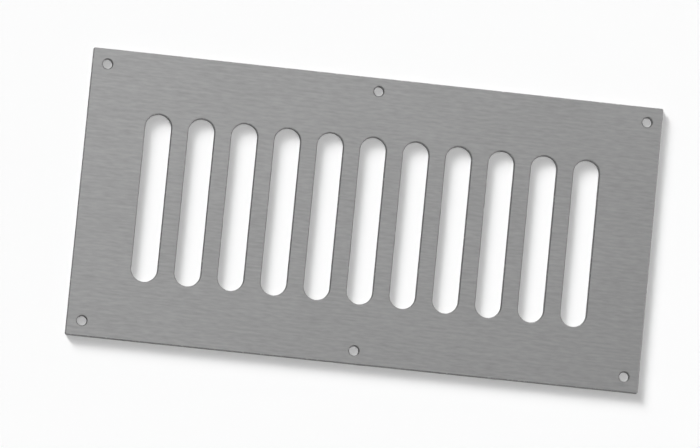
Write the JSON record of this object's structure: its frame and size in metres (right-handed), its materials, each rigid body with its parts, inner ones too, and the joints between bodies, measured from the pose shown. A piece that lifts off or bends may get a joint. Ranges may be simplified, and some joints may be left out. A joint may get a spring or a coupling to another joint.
{
  "type": "slotted vent plate",
  "caption": "Flat brushed metal face plate for a vent, with one row of upright round-ended slots and plain screw holes in its corners and at the middle of its long sides.",
  "frame": {"origin": "centre of the back face, which lies on Z = 0", "axes": "+X along the plate, +Y across it along the slots, +Z out of the front face"},
  "size_m": [0.3, 0.15, 0.003],
  "materials": {
    "brushed_plate": "satin, brushed along the plate"
  },
  "bodies": {
    "root": {"slotted_vent_plate": "brushed_plate"}
  },
  "joints": []
}
